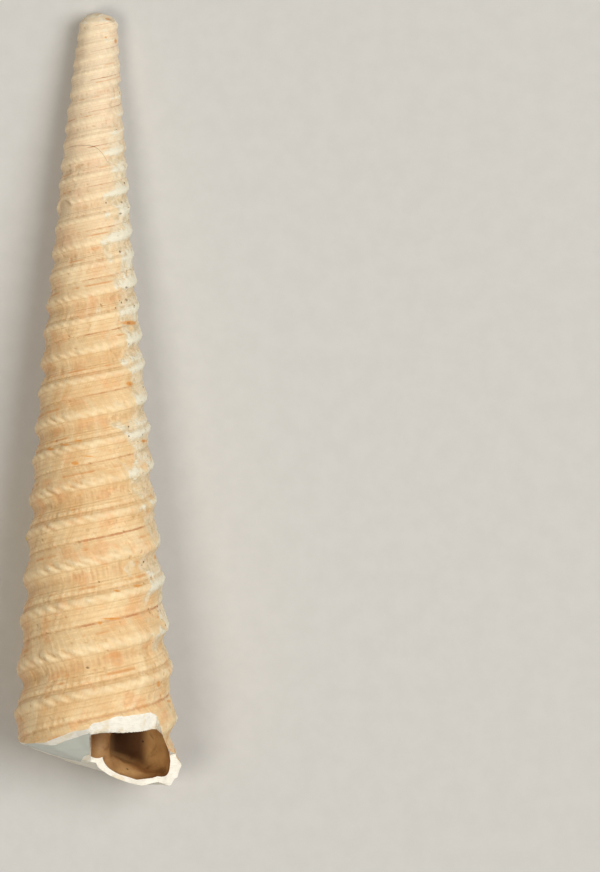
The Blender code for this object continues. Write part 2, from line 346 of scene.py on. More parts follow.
# Broken underside: a low cone in the last whorl's stead, and on the right of the front a deep break
# with the fracture of the outer wall above it
breakage = {
    "baseCentre": 66.0,  # distance of the base's middle
    "baseBulge": 0.20,
    # angle, whorl number of the edge that is left below the last suture
    "rim": [(90, 14.10), (150, 14.08), (180, 14.04), (200, 14.02), (215, 13.99), (245, 13.97), (272, 13.99),
            (300, 14.09), (322, 14.14), (345, 14.08), (360, 14.10)],
    # right of the axis, distance: the lower edge of the face that broke along the axis
    "bottomEdge": [(0.00, 66.25), (0.87, 66.85), (1.70, 67.20), (2.53, 67.46), (3.11, 67.57), (3.69, 67.42),
                   (4.19, 67.30), (4.75, 67.50), (5.05, 67.60), (5.30, 67.15), (5.80, 66.80)],
    # right of the axis, distance: the outer edge of the fracture at the front, and its inner edge
    "frontEdge": [(-2.60, 64.48), (-2.00, 64.20), (-1.25, 63.62), (-0.76, 63.46), (0.00, 62.98),
                  (0.91, 62.74), (1.41, 62.44), (2.57, 62.31), (3.80, 62.27), (4.22, 62.75),
                  (4.50, 63.60), (4.62, 64.00), (4.87, 64.75), (5.24, 65.03), (5.71, 65.65),
                  (6.80, 66.00)],
    "innerEdge": [(-0.60, 63.95), (0.46, 63.84), (1.38, 63.80), (2.38, 63.91), (3.21, 64.07), (3.71, 63.99),
                  (4.21, 63.87), (4.58, 64.02), (4.72, 64.42), (4.87, 64.82), (5.12, 65.66), (6.80, 66.20)],
    "openFrom": -0.33,  # left end of the opening
    "wall": 0.50,  # thickness of the broken outer wall
    "roof": 0.80,  # roof of the open whorl below the suture, at the wall
    "roofSlope": 1.7,  # and how much lower at the columella
    "rimRadius": 0.96,  # against the cone
    "fractureRadius": 0.97,
    "faceEnds": (92.0, 128.0),  # degrees over which the broken face runs into the underside
    "faceWave": (0.16, 1.3),  # it waves a little: mm deep, mm across
    "roughness": 0.07,
    "smoother": 0.35,  # what the underside has of that roughness
    "reach": 6.9,
    "down": 85.0,
    "spacing": 0.125,
}


def rimDistance(angle):
    return sutureDistance(np.interp(angle, *zip(*breakage["rim"])), angle)


def baseDistance(radius, angle):
    # Underside of the last whorl. Next to the broken face it runs into that face's lower edge.
    rim = rimDistance(np.maximum(angle, 90.0))
    share = radius / (spiral["coneSlope"] * rim * breakage["rimRadius"])
    middle = breakage["baseCentre"]
    cone = middle + share * (rim - middle) + breakage["baseBulge"] * 4.0 * share * (1.0 - share)
    cone = np.minimum(cone, spiral["brokenEnd"])
    edge = np.interp(radius, *zip(*breakage["bottomEdge"]))
    return cone + (edge - cone) * (1.0 - ramp(angle, *breakage["faceEnds"]))


def insideFracture(radius, distance):
    # mm from the outer edge of the fracture inward
    return spiral["coneSlope"] * breakage["fractureRadius"] * distance - radius


def roofDistance(radius, angle):
    upper = sutureDistance(spiral["lastWhorl"], angle)
    return upper + breakage["roof"] + breakage["roofSlope"] * (1.0 - radius / (spiral["coneSlope"] * upper))


def undersideDistance(across, towards):
    radius = np.hypot(across, towards)
    angle = np.degrees(np.arctan2(across, towards)) % 360.0
    base = baseDistance(radius, angle)
    left = baseDistance(radius, np.maximum(angle, 359.9))
    edge = np.interp(across, *zip(*breakage["frontEdge"]))
    inner = np.interp(across, *zip(*breakage["innerEdge"]))
    inward = insideFracture(radius, edge)
    stump = edge + (inner - edge) * np.clip(inward / breakage["wall"], -0.4, 1.0)
    blend = ramp(across, breakage["openFrom"] - 0.06, breakage["openFrom"] + 0.06)
    opened = left + blend * (stump - left)
    front = (towards > 0.0) & (across > breakage["openFrom"] - 0.10)
    return np.where(front, opened, base)


def gridLines(steps, reach, spacing, gap):
    # Evenly spaced lines, but two close ones at either side of a step.
    lines = np.arange(-reach, reach + 0.5 * spacing, spacing)
    for step in steps:
        lines = lines[np.abs(lines - step) > 0.7 * spacing]
    pairs = [step + side * gap for step in steps for side in (-1.0, 1.0)]
    return np.sort(np.concatenate([lines, pairs]))


def makeUndersideCutter(material):
    reach, spacing = breakage["reach"], breakage["spacing"]
    columns = gridLines([breakage["openFrom"]], reach, spacing, 0.06)
    rows = gridLines([0.0], reach, spacing, 0.02)
    across, towards = (part.ravel() for part in np.meshgrid(columns, rows, indexing="ij"))
    distance = undersideDistance(across, towards)
    flat = np.stack([across, distance, towards], axis=-1)
    rough = noiseAt(flat, 0.7, 21.0, 3)
    amount = breakage["roughness"] * np.where((towards > 0.0) & (across > -0.4), 1.0, breakage["smoother"])
    depth, size = breakage["faceWave"]
    wave = depth * noiseAt(flat * [1.0, 0.0, 0.0], size, 4.0, 2) * bump(towards, 0.0, 0.5)
    points = placeFlat(across, towards + wave * ramp(across, 0.2, 1.2), distance + amount * rough)
    wide, high = len(columns), len(rows)
    number = np.arange(wide * high).reshape(wide, high)
    faces = [[int(number[i, j]), int(number[i + 1, j]), int(number[i + 1, j + 1]), int(number[i, j + 1])]
             for i in range(wide - 1) for j in range(high - 1)]
    border = np.concatenate([number[:-1, 0], number[-1, :-1], number[:0:-1, -1], number[0, :0:-1]])
    low = points[border].copy()
    low[:, 1] = -breakage["down"]
    first, turn = len(points), len(border)
    for j in range(turn):
        after = (j + 1) % turn
        faces.append([int(border[j]), int(border[after]), first + after, first + j])
    faces.append([first + j for j in range(turn)])
    return makeMesh("undersideCutter", np.concatenate([points, low]), faces, material)


# Hollow of the last whorl, which winds back round the columella
hollow = {
    "from": 2.0,
    "to": 345.0,
    "taper": 80.0,
    "steps": 120,
    "sides": 44,
    "squareness": 0.38,
    "inside": 0.40,  # radius of its inner side
    "wall": 0.43,
    "floor": 0.34,  # thickness of the whorl's base at the break
    "thickerFloor": 0.85,  # and how much thicker it is further in
    "thickerOver": (88.0, 150.0),  # degrees
    "wallLine": 0.99,  # outer wall against the cone, and how far it follows the keels
    "wallFollows": 0.5,
}


def squared(value):
    return np.sign(value) * np.abs(value) ** hollow["squareness"]


def makeHollowCutter(material):
    points = []
    turns = 2.0 * np.pi * np.arange(hollow["sides"]) / hollow["sides"]
    for angle in np.linspace(hollow["from"], hollow["to"], hollow["steps"] + 1):
        left = min((hollow["to"] - angle) / hollow["taper"], 1.0)
        size = max(math.sqrt(1.0 - (1.0 - left) ** 2), 0.04)
        upper = sutureDistance(spiral["lastWhorl"], angle)
        rim = float(rimDistance(max(angle, 90.0)))
        across = 0.5 + 0.5 * size * squared(np.cos(turns))
        down = 0.5 + 0.5 * size * squared(np.sin(turns))
        level = np.minimum(upper + down * (rim - upper), spiral["brokenEnd"])
        cone = coneRadius(level)
        keels = surfaceRadius(np.full_like(level, angle), level) / cone - 1.0
        outer = cone * (hollow["wallLine"] + hollow["wallFollows"] * keels)
        inner = hollow["inside"]
        radius = inner + across * (outer - hollow["wall"] - inner)
        top = roofDistance(radius, angle)
        thickness = hollow["floor"] + hollow["thickerFloor"] * float(ramp(angle, *hollow["thickerOver"]))
        bottom = baseDistance(radius, max(angle, 90.0)) - thickness
        points.append(place(radius, angle, top + down * (bottom - top)))
    faces = tubeFaces(hollow["steps"] + 1, hollow["sides"])
    return makeMesh("hollowCutter", np.concatenate(points), faces, material)


# Columella: the pillar that the whorls wind round, in sight at the left of the opening
columella = {
    # distance, radius, how far in front of the axis its middle lies
    "course": [(62.6, 1.35, -0.60), (63.6, 1.08, -0.60), (64.3, 0.93, -0.58), (65.0, 0.88, -0.60),
               (65.5, 0.92, -0.86), (65.95, 0.95, -1.30)],
    "across": 0.12,
    "twist": 0.10,  # mm that it swings to and fro in a turn of the spiral
    "twistTurn": 1.4,  # how fast that turns, radians in a mm
    "sides": 60,
    "spacing": 0.08,
}


def makeColumella(material):
    where, radii, fronts = zip(*columella["course"])
    levels = np.arange(where[0], where[-1] + 0.001, columella["spacing"])
    sides = columella["sides"]
    turn = 2.0 * np.pi * np.arange(sides) / sides
    points = []
    for level in levels:
        radius = np.interp(level, where, radii)
        front = np.interp(level, where, fronts)
        reach = radius + columella["twist"] * np.sin(turn - columella["twistTurn"] * (level - where[0]))
        across = columella["across"] + reach * np.sin(turn)
        points.append(placeFlat(across, front + reach * np.cos(turn), np.full(sides, level)))
    return makeMesh("columella", np.concatenate(points), tubeFaces(len(levels), sides), material)


# Worn and broken tip
tipBreak = {
    "dome": 0.52,  # drop at the reference radius
    "domeRadius": 1.17,
    "domePower": 2.8,
    "roughness": 0.07,
    "notchAngle": 60.0,
    "notchWidth": 22.0,
    "notchDepth": 0.34,
    "up": 8.0,
    "reach": 2.2,
    "rings": 18,
    "rays": 72,
}


def makeTipCutter(material):
    angles = np.arange(tipBreak["rays"]) * 360.0 / tipBreak["rays"]
    radii = tipBreak["reach"] * np.arange(1, tipBreak["rings"] + 1) / tipBreak["rings"]
    radius, angle = (part.ravel() for part in np.meshgrid(radii, angles, indexing="ij"))
    dome = tipBreak["dome"] * (radius / tipBreak["domeRadius"]) ** tipBreak["domePower"]
    dome = spiral["brokenTip"] + dome
    flat = np.stack([radius * np.sin(np.radians(angle)), dome, radius * np.cos(np.radians(angle))], axis=-1)
    notch = bump(turnFrom(angle, tipBreak["notchAngle"]), 0.0, tipBreak["notchWidth"])
    distance = dome + tipBreak["roughness"] * noiseAt(flat, 0.6, 31.0, 3)
    distance = distance + tipBreak["notchDepth"] * (notch * bump(radius, 0.7, 0.35))
    points = place(radius, angle, distance)
    turn, last = len(angles), (len(radii) - 1) * len(angles)
    middle = len(points)
    top = points[last:].copy()
    top[:, 1] = -tipBreak["up"]
    points = np.concatenate([points, place(np.array([0.0]), 0.0, np.array([spiral["brokenTip"]])), top])
    faces = []
    for j in range(turn):
        after = (j + 1) % turn
        faces.append([middle, j, after])
        faces.append([last + j, middle + 1 + j, middle + 1 + after, last + after])
        for ring in range(0, last, turn):
            faces.append([ring + j, ring + turn + j, ring + turn + after, ring + after])
    faces.append([middle + 1 + j for j in range(turn)][::-1])
    return makeMesh("tipCutter", points, faces, material)


def combine(piece, other, way="DIFFERENCE"):
    # The faces that come from the other object keep its material.
    modifier = piece.modifiers.new(other.name, "BOOLEAN")
    modifier.operation = way
    modifier.solver = "EXACT"
    modifier.material_mode = "TRANSFER"
    modifier.object = other
    bpy.context.view_layer.objects.active = piece
    bpy.ops.object.modifier_apply(modifier=modifier.name)
    bpy.data.objects.remove(other)


# What lies on the shell, as places in mm: right of the axis seen from the front, distance
marks = {
    # yellow lacquer on the back
    "yellow": [(-1.91, 46.24), (-2.39, 46.24), (-2.98, 47.81), (-3.78, 47.13), (-4.49, 47.81),
               (-4.50, 48.23), (-4.76, 50.70), (-3.91, 52.28), (-3.80, 53.44), (-4.16, 53.99),
               (-3.78, 55.23), (-4.21, 55.85), (-4.77, 56.60), (-4.24, 57.29), (-4.21, 58.87),
               (-4.71, 59.69), (-4.39, 60.58), (-3.57, 61.00), (-2.41, 61.34), (0.05, 61.68),
               (1.42, 62.09), (2.04, 61.75), (1.93, 60.58), (1.39, 60.03), (2.03, 59.21), (2.61, 57.97),
               (2.11, 55.92), (2.68, 54.89), (2.92, 53.79), (2.18, 52.83), (2.72, 50.70), (2.66, 50.15),
               (1.58, 49.60), (1.59, 49.05), (1.42, 47.81), (0.74, 47.27), (0.35, 46.58), (-0.75, 46.51)],
    # grey lacquer on the broken base
    "grey": [(-5.20, 64.80), (-4.43, 64.53), (-3.85, 64.57), (-3.43, 64.65), (-3.09, 64.70), (-2.61, 64.61),
             (-1.92, 64.33), (-1.26, 64.12), (-0.76, 63.94), (-0.30, 63.87), (-0.34, 65.32), (-0.87, 65.53),
             (-1.08, 65.90), (-1.21, 66.83), (-2.54, 67.86), (-5.60, 67.40)],
    # right, distance, half width, half height
    "frontRust": [(2.49, 35.80, 0.50, 0.13), (2.56, 39.99, 0.22, 0.14), (-1.15, 45.41, 0.25, 0.12),
                  (3.52, 43.90, 0.18, 0.10), (0.47, 56.33, 0.16, 0.09), (1.23, 56.05, 0.80, 0.06),
                  (1.66, 54.13, 0.22, 0.06)],
    "frontOrange": [(4.39, 60.51, 0.17, 0.28), (-2.40, 59.97, 0.18, 0.12), (0.57, 16.24, 0.12, 0.10),
                    (1.24, 16.45, 0.11, 0.22), (5.05, 61.75, 0.20, 0.14), (0.62, 14.95, 0.22, 0.12),
                    (3.05, 53.80, 0.50, 0.12), (-2.85, 44.45, 0.45, 0.13), (-1.90, 44.15, 0.50, 0.12),
                    (-0.90, 43.88, 0.50, 0.11), (-0.25, 44.95, 0.45, 0.07), (0.60, 44.76, 0.55, 0.06),
                    (1.30, 44.55, 0.40, 0.07), (4.25, 51.85, 0.14, 0.20)],
    "frontDark": [(-0.40, 59.35, 0.16, 0.10), (-1.08, 58.94, 0.10, 0.07), (-3.18, 57.01, 0.15, 0.08),
                  (2.42, 27.08, 0.12, 0.10), (1.95, 27.56, 0.10, 0.08), (1.89, 28.32, 0.14, 0.10),
                  (1.70, 29.83, 0.08, 0.07), (2.34, 33.40, 0.12, 0.10), (2.34, 34.22, 0.14, 0.12),
                  (0.43, 53.51, 0.07, 0.05), (3.33, 52.41, 0.08, 0.06)],
    "rearRust": [(0.20, 27.70, 0.55, 0.12), (0.68, 29.07, 0.35, 0.14), (2.05, 31.13, 0.30, 0.20),
                 (4.27, 54.41, 0.30, 0.35), (0.23, 63.06, 0.20, 0.08)],
    "rearOrange": [],
    "rearDark": [(0.45, 27.85, 0.20, 0.14), (1.76, 32.99, 0.16, 0.12), (4.88, 60.51, 0.25, 0.18),
                 (4.00, 60.24, 0.30, 0.07), (2.85, 38.34, 0.12, 0.10)],
    "crack": [(-1.54, 23.72), (-0.90, 23.66), (-0.40, 23.65), (-0.10, 23.70), (0.15, 23.80), (0.40, 24.00),
              (0.62, 24.26), (0.80, 24.52), (0.95, 24.80)],
    # the eroded, chalky strip: distance, where it starts round the shell, strength
    "chalk": [(15.0, 10.0, 0.22), (20.0, 15.0, 0.35), (24.0, 26.0, 0.60), (27.5, 32.0, 0.90),
              (36.3, 36.0, 1.0), (39.0, 46.0, 0.95), (41.0, 52.0, 0.90), (42.5, 40.0, 0.90),
              (45.5, 44.0, 0.90), (48.0, 56.0, 0.80), (51.0, 60.0, 0.80), (52.5, 50.0, 0.92),
              (55.0, 50.0, 0.92), (56.0, 64.0, 0.90), (57.6, 66.0, 0.80), (58.5, 76.0, 0.60),
              (68.0, 80.0, 0.50)],
    "chalkEnds": (108.0, 148.0),
    "chalkEdge": 14.0,  # degrees, half its soft edge
    "chalkWander": (34.0, 1.3),  # degrees, mm across
    "backTint": (200.0, 110.0, 60.0),  # middle of the back, where its tint starts and is full
    # the painted shade and highlights follow the relief, which is strengthened on the small whorls
    "smallWhorls": (16.0, 40.0),  # distances between which relief is strengthened for the colours
    "smallMore": 0.9,
    "faded": (17.0, 40.0),  # distances from faded to not faded
    "greyBack": (-1.2, 0.12, -2.6),  # how far back it reaches, mm, and its bend
    # painted shade: how dark the columella is painted
    "pillarShade": 0.54,  # dark on the columella
    # values between which the middle of the hollow gets painted shade
    "shadeAcross": (0.50, 1.35, 2.9, 3.7),
    "shadeUpward": (0.35, 0.85),
    "shadeBack": (-0.4, 0.4),
    "pillarEdge": (1.3, 1.8),
    # and those between which the fracture browns, in mm from its outer edge and down the axis
    "agedInward": (1.6, 2.4),
    "agedDown": (64.6, 65.0),
    "openingDown": (65.5, 65.8),
}


def insideOutline(across, distance, outline):
    # Distance in mm to the outline's edge, positive inside it.
    nearest = np.full(len(across), 1e9)
    inside = np.zeros(len(across), dtype=bool)
    for (x0, y0), (x1, y1) in zip(outline, outline[1:] + outline[:1]):
        dx, dy = x1 - x0, y1 - y0
        share = np.clip(((across - x0) * dx + (distance - y0) * dy) / (dx * dx + dy * dy), 0.0, 1.0)
        gap = np.hypot(across - x0 - share * dx, distance - y0 - share * dy)
        nearest = np.minimum(nearest, gap)
        if dy != 0.0:
            crosses = ((y0 > distance) != (y1 > distance)) & (across < x0 + (distance - y0) * dx / dy)
            inside ^= crosses
    return np.where(inside, nearest, -nearest)


def spotStrength(across, distance, towards, name):
    sides = []
    for spots in (marks["front" + name], marks["rear" + name]):
        total = np.zeros(len(across))
        for x, y, wide, high in spots:
            total = np.maximum(total, np.exp(-((across - x) / wide) ** 2 - ((distance - y) / high) ** 2))
        sides.append(total)
    return np.where(towards > 0.0, *sides)


def addValues(mesh, name, values):
    layer = mesh.attributes.new(name, "FLOAT", "POINT")
    layer.data.foreach_set("value", np.asarray(values, dtype=np.float32))


def readNumbers(items, name, width=1, kind=float):
    numbers = np.empty(len(items) * width, dtype=kind)
    items.foreach_get(name, numbers)
    return numbers.reshape(-1, width) if width > 1 else numbers


def standingOut(mesh, points, rounds):
    # How far each vertex stands above its surroundings in mm; more rounds look further round it.
    edges = readNumbers(mesh.edges, "vertices", 2, np.int32)
    first, second = edges.T
    count = np.bincount(edges.ravel(), minlength=len(points))
    normals = readNumbers(mesh.vertex_normals, "vector", 3)
    height = np.zeros(len(points))
    for axis in range(3):
        given = points[:, axis]
        smooth = given.copy()
        for _ in range(rounds):
            total = np.bincount(first, smooth[second], len(points))
            total = total + np.bincount(second, smooth[first], len(points))
            smooth = 0.5 * smooth + 0.5 * total / count
        height += (given - smooth) * normals[:, axis]
    return height


def describeSurface(mesh):
    # Values for the materials: spiral coordinates and, at each vertex, relief, wear, markings and painted
    # shade.
    points = readNumbers(mesh.vertices, "co", 3) / mm
    distance = -points[:, 1]
    across, towards = points[:, 0] - bendAt(distance), points[:, 2]
    radius = np.hypot(across, towards)
    angle = np.degrees(np.arctan2(across, towards)) % 360.0

    corners = readNumbers(mesh.loops, "vertex_index", kind=np.int32)
    starts = readNumbers(mesh.polygons, "loop_start", kind=np.int32)
    sizes = readNumbers(mesh.polygons, "loop_total", kind=np.int32)
    first = np.repeat(angle[corners[starts]], sizes)
    around = first + turnFrom(angle[corners], first)  # no break inside a face
    counts = whorlNumber(distance[corners], around)
    layer = mesh.uv_layers.new(name="spiral")
    layer.data.foreach_set("uv", np.stack([around / 360.0, counts], axis=-1).astype(np.float32).ravel())

    # the small whorls' lower relief is strengthened so that their painted shade in the grooves is as dark
    small = 1.0 - ramp(distance, *marks["smallWhorls"])  # the relief is lower there, but as dark
    addValues(mesh, "ridge", standingOut(mesh, points, 60) * (1.0 + marks["smallMore"] * small))
    addValues(mesh, "edge", standingOut(mesh, points, 5))
    addValues(mesh, "scar", insideOval(angle, distance, sculpture["scar"]))
    addValues(mesh, "faded", 1.0 - ramp(distance, *marks["faded"]))
    middle, start, full = marks["backTint"]
    addValues(mesh, "pink", ramp(np.abs(turnFrom(angle, middle)), start, full))
    rust, orange, dark = (spotStrength(across, distance, towards, name)
                          for name in ("Rust", "Orange", "Dark"))
    addValues(mesh, "rust", np.maximum(rust, 0.60 * orange))
    addValues(mesh, "dark", dark)
    where, begins, strength = zip(*marks["chalk"])
    wander, size = marks["chalkWander"]
    begin = np.interp(distance, where, begins) + wander * noiseAt(points, size, 9.3, 2)
    chalk = ramp(angle, begin - marks["chalkEdge"], begin + marks["chalkEdge"])
    chalk = chalk * (1.0 - ramp(angle, *marks["chalkEnds"]))
    addValues(mesh, "chalk", chalk * np.interp(distance, where, strength))
    crackX, crackY = zip(*marks["crack"])
    crack = distance - np.interp(across, crackX, crackY)
    beside = np.maximum(crackX[0] - across, across - crackX[-1])
    crack = np.where(beside < 0.15, crack + np.sign(crack) * np.maximum(beside, 0.0), 9.0)
    addValues(mesh, "crack", np.where(towards > 0.0, crack, 9.0))
    yellow = insideOutline(across, distance, marks["yellow"])
    addValues(mesh, "yellow", np.where(towards < 0.0, yellow, -9.0))
    back, bend, middle = marks["greyBack"]
    grey = insideOutline(across, distance, marks["grey"])
    addValues(mesh, "grey", np.minimum(grey, towards - (back + bend * (across - middle) ** 2)))

    # painted shade: the middle of the hollow is darkened far in, but not its upward-facing floor, and the
    # columella is darkened too
    upward = readNumbers(mesh.vertex_normals, "vector", 3)[:, 1]
    leftStart, leftFull, rightFull, rightEnd = marks["shadeAcross"]
    paintedHollowShade = ramp(across, leftStart, leftFull) * (1.0 - ramp(across, rightFull, rightEnd))
    paintedHollowShade = paintedHollowShade * (1.0 - ramp(upward, *marks["shadeUpward"])) * ramp(-towards, *marks["shadeBack"])
    pillar = marks["pillarShade"] * (1.0 - ramp(radius, *marks["pillarEdge"]))
    addValues(mesh, "paintedHollowShade", np.maximum(paintedHollowShade, pillar))
    # brown where the fracture runs into the hollow
    opening = ramp(across, breakage["openFrom"] - 0.1, breakage["openFrom"] + 0.05)
    opening = opening * ramp(towards, 0.0, 0.06) * (1.0 - ramp(distance, *marks["openingDown"]))
    aged = ramp(insideFracture(radius, distance), *marks["agedInward"])
    addValues(mesh, "aged", aged * (1.0 - ramp(distance, *marks["agedDown"])) * opening)


# Helpers for materials: a value is a number or another node's output, colours are given from 0 to 255
def setInputs(node, inputs):
    for name, value in inputs.items():
        if isinstance(value, bpy.types.NodeSocket):
            node.id_data.links.new(value, node.inputs[name])
        else:
            node.inputs[name].default_value = value


def addNode(tree, kind, inputs=None, **settings):
    made = tree.nodes.new("ShaderNode" + kind)
    for name, value in settings.items():
        setattr(made, name, value)
    setInputs(made, inputs or {})
    return made


def treeOf(*values):
    return next(value.id_data for value in values if isinstance(value, bpy.types.NodeSocket))


def calc(operation, *values):
    return addNode(treeOf(*values), "Math", dict(enumerate(values)), operation=operation).outputs[0]


def times(value, *others):
    for other in others:
        value = calc("MULTIPLY", value, other)
    return value


def timesPlus(value, factor, start):
    return calc("MULTIPLY_ADD", value, factor, start)


def fray(value, uneven, amount):
    # The value, moved up and down by a noise of 0 to 1.
    return timesPlus(calc("SUBTRACT", uneven, 0.5), amount, value)


def rise(value, low, high, top=1.0):
    # 0 below low, up smoothly to top at high.
    inputs = {"Value": value, "From Min": low, "From Max": high, "To Min": 0.0, "To Max": top}
    return addNode(value.id_data, "MapRange", inputs, interpolation_type="SMOOTHSTEP").outputs[0]


def shade(colour):
    # A colour as it looks on the screen, for the renderer. Outputs stay as they are.
    if isinstance(colour, bpy.types.NodeSocket):
        return colour
    return tuple((((part / 255.0) + 0.055) / 1.055) ** 2.4 for part in colour) + (1.0,)


def mixColour(share, first, second, way="MIX"):
    inputs = {0: share, 6: shade(first), 7: shade(second)}
    return addNode(treeOf(share, first, second), "Mix", inputs, data_type="RGBA", blend_type=way).outputs[2]


def mixNumber(share, first, second):
    return addNode(share.id_data, "Mix", {0: share, 2: first, 3: second}).outputs[0]


def readValue(tree, name):
    return addNode(tree, "Attribute", attribute_name=name).outputs["Fac"]


def scaleVector(vector, factor):
    return addNode(vector.id_data, "VectorMath", {0: vector, "Scale": factor}, operation="SCALE").outputs[0]


def noiseNode(vector, scale, detail, roughness=0.5, distortion=0.0):
    inputs = {"Vector": vector, "Scale": scale, "Detail": detail, "Roughness": roughness,
              "Distortion": distortion}
    return addNode(vector.id_data, "TexNoise", inputs).outputs[0]


def makeGroup(build, name, **numbers):
    # An effect that materials share. It is given a position in mm and numbers; build makes its outputs.
    group = bpy.data.node_groups.new(name, "ShaderNodeTree")
    group.interface.new_socket(name="position", in_out="INPUT", socket_type="NodeSocketVector")
    for label, value in numbers.items():
        made = group.interface.new_socket(name=label, in_out="INPUT", socket_type="NodeSocketFloat")
        made.default_value = value
    results = build(*group.nodes.new("NodeGroupInput").outputs[:len(numbers) + 1])
    for label in results:
        group.interface.new_socket(name=label, in_out="OUTPUT", socket_type="NodeSocketFloat")
    setInputs(group.nodes.new("NodeGroupOutput"), results)
    return group


def useGroup(group, position, **numbers):
    made = position.id_data.nodes.new("ShaderNodeGroup")
    made.node_tree = group
    setInputs(made, {"position": position, **numbers})
    return made.outputs


effects = {
    "softGrain": (5.0, 0.62),  # detail and roughness of a noise
    "fineGrain": (3.0, 0.70),
    "finerScale": 4.3,
    "grainTone": (0.30, 0.70),  # noise at the darkest and the palest
    "grainHeights": (0.6, 0.4),  # of the soft and the fine grain
    "speckMove": (40.0, 90.0, 40.0),  # away from 0, where the cells do not meet
    "speckRadius": (0.24, 0.06),  # how much they differ, the smallest
    "speckFray": (3.0, 0.4),  # scale and amount of their uneven outline
    "speckSoft": 0.10,
    "stainNoise": (3.0, 0.5, 0.4),  # detail, roughness, distortion
    "stainLevel": (-0.40, 0.70),  # noise above which a place is stained, against the amount
    "stainSoft": 0.12,
    "lacquerWaves": (1.6, 3.0),  # waves in a mm, detail
    "lacquerRuns": (0.9, 1.0),
    "lacquerEdge": (-0.02, 0.03),  # mm
    "lacquerRim": (0.22, 0.02, 0.35),  # thicker along the edge: from, full, by how much
    "lacquerBody": (0.3, 0.8),  # by the runs, and everywhere
    "lacquerHeight": 0.7,
}


def buildGrain(position, size):
    # Fine mineral grain: a soft tone and a rough height.
    scale = calc("DIVIDE", 1.0, size)
    soft = noiseNode(position, scale, *effects["softGrain"])
    fine = noiseNode(position, times(scale, effects["finerScale"]), *effects["fineGrain"])
    softHeight, fineHeight = effects["grainHeights"]
    return {"tone": rise(soft, *effects["grainTone"]),
            "height": calc("ADD", times(soft, softHeight), times(fine, fineHeight))}


def buildSpecks(position, size, amount):
    # Small round spots of different size, scattered; amount is the share of places that have one.
    scale = calc("DIVIDE", 1.0, size)
    moved = addNode(position.id_data, "VectorMath", {0: position, 1: effects["speckMove"]}, operation="ADD")
    cells = addNode(position.id_data, "TexVoronoi", {"Vector": moved.outputs[0], "Scale": scale})
    parts = addNode(position.id_data, "SeparateColor", {"Color": cells.outputs["Color"]})
    frayScale, frayAmount = effects["speckFray"]
    away = fray(cells.outputs["Distance"], noiseNode(position, times(scale, frayScale), 2.0), frayAmount)
    reach = timesPlus(parts.outputs[1], *effects["speckRadius"])
    spot = rise(calc("SUBTRACT", reach, away), 0.0, effects["speckSoft"])
    return {"mask": times(spot, rise(calc("SUBTRACT", amount, parts.outputs[0]), 0.0, 0.02))}


def buildStaining(position, size, amount):
    # Cloudy patches; an amount of 0 gives none and 1 covers nearly everything.
    cloud = noiseNode(position, calc("DIVIDE", 1.0, size), *effects["stainNoise"])
    level = timesPlus(amount, *effects["stainLevel"])
    return {"mask": rise(calc("SUBTRACT", cloud, level), 0.0, effects["stainSoft"])}


def buildLacquer(position, edge, ragged):
    # A brushed patch of lacquer: edge is the distance in mm inside its outline.
    edge = fray(edge, noiseNode(position, *effects["lacquerWaves"]), ragged)
    mask = rise(edge, *effects["lacquerEdge"])
    start, full, more = effects["lacquerRim"]
    runs = timesPlus(noiseNode(position, *effects["lacquerRuns"]), *effects["lacquerBody"])
    return {"mask": mask, "height": times(mask, timesPlus(rise(edge, start, full), more, runs))}


mineralGrain = makeGroup(buildGrain, "mineralGrain", size=0.5)
darkSpecks = makeGroup(buildSpecks, "darkSpecks", size=0.4, amount=0.3)
staining = makeGroup(buildStaining, "staining", size=1.5, amount=0.5)
lacquerPatch = makeGroup(buildLacquer, "lacquerPatch", edge=0.0, ragged=0.2)


def stains(position, size, amount):
    return useGroup(staining, position, size=size, amount=amount)["mask"]


def underLacquer(height, lacquer, fills):
    # The lacquer levels the relief under it and lies on top.
    height = times(height, timesPlus(lacquer["mask"], -fills, 1.0))
    return timesPlus(lacquer["height"], effects["lacquerHeight"], height)


def newMaterial(name):
    material = bpy.data.materials.new(name)
    material.use_nodes = True
    surface = material.node_tree.nodes["Principled BSDF"]
    position = scaleVector(addNode(material.node_tree, "TexCoord").outputs["Object"], 1.0 / mm)  # in mm
    return material, surface, position


def linesAt(value, places, halfWidth):
    # Up to the given strength at each place along a value from 0 to 1, and 0 between them.
    node = addNode(value.id_data, "ValToRGB", {"Fac": value})
    stops = node.color_ramp.elements
    stops[0].color = stops[1].color = (0.0, 0.0, 0.0, 1.0)
    for middle, strength in places:
        for offset, level in ((-halfWidth, 0.0), (0.0, strength), (halfWidth, 0.0)):
            stops.new(middle + offset).color = (level, level, level, 1.0)
    return node.outputs["Color"]


def bumped(height, depth):
    # depth in mm is what a height of 1 stands for
    inputs = {"Height": height, "Distance": depth * mm, "Strength": 1.0}
    return addNode(height.id_data, "Bump", inputs).outputs[0]


